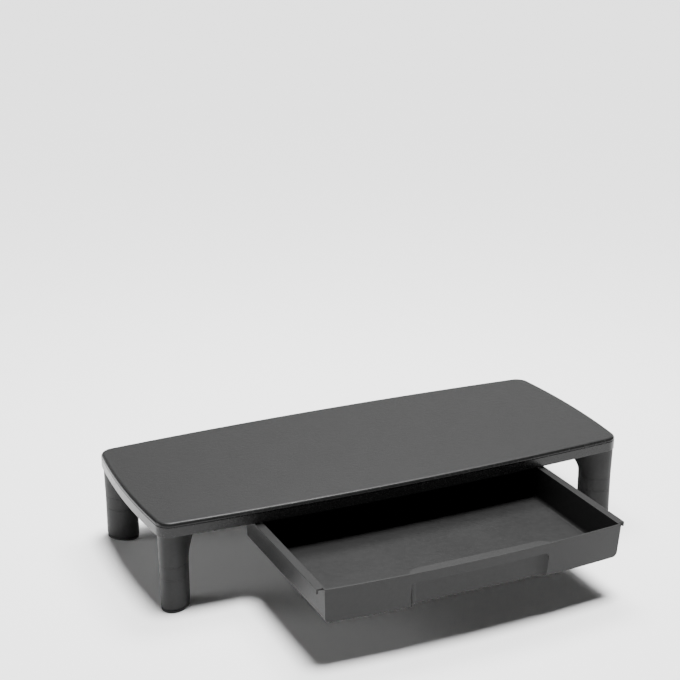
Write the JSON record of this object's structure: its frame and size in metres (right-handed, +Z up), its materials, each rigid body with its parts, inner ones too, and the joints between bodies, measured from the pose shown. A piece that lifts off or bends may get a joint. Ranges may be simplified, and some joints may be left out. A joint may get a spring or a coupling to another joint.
{
  "type": "monitor stand with drawer",
  "caption": "Moulded desk riser: a shallow bowed deck on stacking segment legs, with a wide bow-fronted drawer that slides on rails under the deck",
  "frame": {"origin": "centre of the deck's flat top", "axes": "+X to the right along the deck's width, +Y to the back, +Z up; the drawer opens along -Y and is drawn open"},
  "size_m": [0.6, 0.4192, 0.109],
  "materials": {
    "deck_plastic": "fine-grained charcoal moulding, satin on the bowed edges",
    "leg_plastic": "fine-grained charcoal moulding",
    "rail_plastic": "smooth black moulding",
    "drawer_plastic": "fine-grained charcoal moulding",
    "pad_rubber": "matt black rubber"
  },
  "bodies": {
    "stand": {"deck": "deck_plastic", "rail_right": "rail_plastic", "rail_left": "rail_plastic", "leg_tops_back": "leg_plastic", "leg_tops_front": "leg_plastic", "leg_spacer_fl": "leg_plastic", "leg_spacer_fr": "leg_plastic", "leg_spacer_bl": "leg_plastic", "leg_spacer_br": "leg_plastic", "leg_foot_fl": "leg_plastic", "leg_foot_fr": "leg_plastic", "leg_foot_bl": "leg_plastic", "leg_foot_br": "leg_plastic", "foot_pad_fl": "pad_rubber", "foot_pad_fr": "pad_rubber", "foot_pad_bl": "pad_rubber", "foot_pad_br": "pad_rubber"},
    "drawer": {"drawer": "drawer_plastic"}
  },
  "joints": [
    {"name": "drawer_slide", "type": "slide", "parent": "stand", "child": "drawer", "axis": [0, -1, 0], "range_m": [-0.17, 0]}
  ]
}
